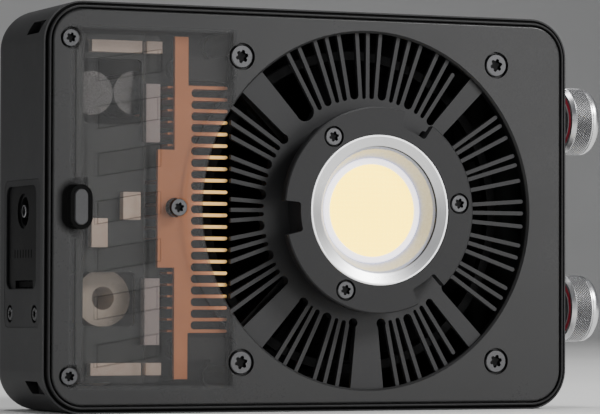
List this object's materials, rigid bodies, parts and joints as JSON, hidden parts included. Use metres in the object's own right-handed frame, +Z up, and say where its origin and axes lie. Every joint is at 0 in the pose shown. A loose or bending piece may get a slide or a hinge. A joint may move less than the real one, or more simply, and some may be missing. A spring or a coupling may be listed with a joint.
{
  "type": "compact led studio light",
  "caption": "Compact LED studio light with a smoky see-through front, fan grille, bayonet ring round a flat lamp, two knurled dials and a side power inlet.",
  "frame": {"origin": "bottom centre of the whole object's box, on the face it stands on", "axes": "+X along the body towards the two dials, +Y from the lamp to the rear, +Z up; the lamp faces -Y"},
  "size_m": [0.1234, 0.0388, 0.0795],
  "materials": {
    "shell_black": "fine matte moulded texture",
    "rim_black": "satin black rim",
    "gasket_black": "matte rubber",
    "smoke_clear": "smoke-tinted clear plastic, polished",
    "grille_grey": "matte moulded",
    "screw_dark": "dark plated steel",
    "bayonet_black": "matte black anodised",
    "ring_silver": "turned and polished",
    "cup_white": "light grey satin reflector",
    "board_white": "white LED substrate",
    "dam_white": "white silicone bead",
    "phosphor": "pale yellow phosphor silicone",
    "pad_grey": "thermal pad",
    "copper": "bare copper",
    "fan_black": "moulded fan plastic",
    "steel": "ground steel",
    "winding": "enamelled copper windings",
    "pcb_dark": "dark solder mask",
    "board_parts": "beige moulded components",
    "can_silver": "capacitor can",
    "ferrite": "ferrite",
    "knob_silver": "diamond-knurled bead-blasted aluminium",
    "ring_red": "red anodised",
    "metal_dark": "black anodised",
    "button_grey": "matte",
    "interface_black": "fine matte",
    "window_black": "black printed display glass",
    "display": "display module",
    "brass": "turned brass"
  },
  "bodies": {
    "housing": {"front_frame": "rim_black", "frame_gasket": "gasket_black", "main_shell": "shell_black", "rear_cover": "shell_black", "front_cover": "smoke_clear", "cover_screws_large": "screw_dark", "cover_screws_small": "screw_dark", "rear_screws": "screw_dark", "tripod_insert": "brass", "vent_grille": "grille_grey", "bayonet_plate": "bayonet_black", "bayonet_screws": "screw_dark", "reflector_ring": "ring_silver", "cob_holder": "cup_white", "cob_board": "board_white", "cob_dam": "dam_white", "cob_phosphor": "phosphor", "thermal_pad": "pad_grey", "led_base_plate": "copper", "pipe_clamp_plate": "copper", "heat_pipes": "copper", "copper_comb": "copper", "fin_stack": "copper", "fan_frame": "fan_black", "fan_screws": "screw_dark", "fan_stator": "winding", "fan_bearings": "steel", "power_board": "pcb_dark", "led_board": "pcb_dark", "led_board_parts": "board_parts", "capacitors": "can_silver", "inductors": "ferrite", "control_board": "pcb_dark", "encoder_bodies": "metal_dark", "dial_bushings": "metal_dark", "release_guide": "metal_dark", "release_spring": "steel", "interface_plate": "interface_black", "interface_screws": "screw_dark", "dc_jack": "interface_black", "dc_pin": "steel", "latch_spring": "steel", "rear_board": "pcb_dark", "display_panel": "display", "display_window": "window_black"},
    "upper_plunger": {"dial_plunger_upper": "steel"},
    "upper_dial": {"dial_shaft_upper": "metal_dark", "dial_knob_upper": "knob_silver", "dial_ring_upper": "ring_red"},
    "lower_plunger": {"dial_plunger_lower": "steel"},
    "lower_dial": {"dial_shaft_lower": "metal_dark", "dial_knob_lower": "knob_silver", "dial_ring_lower": "ring_red"},
    "fan": {"fan_rotor": "fan_black", "fan_shaft": "steel"},
    "release": {"release_button": "button_grey"},
    "latch": {"side_latch": "metal_dark"},
    "bayonet_lock": {"lock_pin": "metal_dark"},
    "power": {"power_button": "button_grey"}
  },
  "joints": [
    {"name": "upper_dial_press", "type": "slide", "parent": "housing", "child": "upper_plunger", "axis": [-1, 0, 0], "range_m": [0, 0.0005], "stiffness_N_per_m": 3000},
    {"name": "upper_dial_turn", "type": "hinge", "parent": "upper_plunger", "child": "upper_dial", "pos_m": [0.05475, -0.0031, 0.05935], "axis": [1, 0, 0], "continuous": true},
    {"name": "lower_dial_press", "type": "slide", "parent": "housing", "child": "lower_plunger", "axis": [-1, 0, 0], "range_m": [0, 0.0005], "stiffness_N_per_m": 3000},
    {"name": "lower_dial_turn", "type": "hinge", "parent": "lower_plunger", "child": "lower_dial", "pos_m": [0.05475, -0.0031, 0.0205], "axis": [1, 0, 0], "continuous": true},
    {"name": "fan_spin", "type": "hinge", "parent": "housing", "child": "fan", "pos_m": [0.00662, -0.0001, 0.03985], "axis": [0, 1, 0], "continuous": true},
    {"name": "release_press", "type": "slide", "parent": "housing", "child": "release", "axis": [0, 1, 0], "range_m": [0, 0.0015], "stiffness_N_per_m": 800},
    {"name": "latch_retract", "type": "slide", "parent": "housing", "child": "latch", "axis": [1, 0, 0], "range_m": [0, 0.0015]},
    {"name": "bayonet_lock_press", "type": "slide", "parent": "housing", "child": "bayonet_lock", "axis": [0, 1, 0], "range_m": [0, 0.002], "stiffness_N_per_m": 400},
    {"name": "power_press", "type": "slide", "parent": "housing", "child": "power", "axis": [0, -1, 0], "range_m": [0, 0.0005], "stiffness_N_per_m": 2000}
  ],
  "couplings": [
    {"joint": "latch_retract", "follows": "release_press", "ratio": 1}
  ]
}
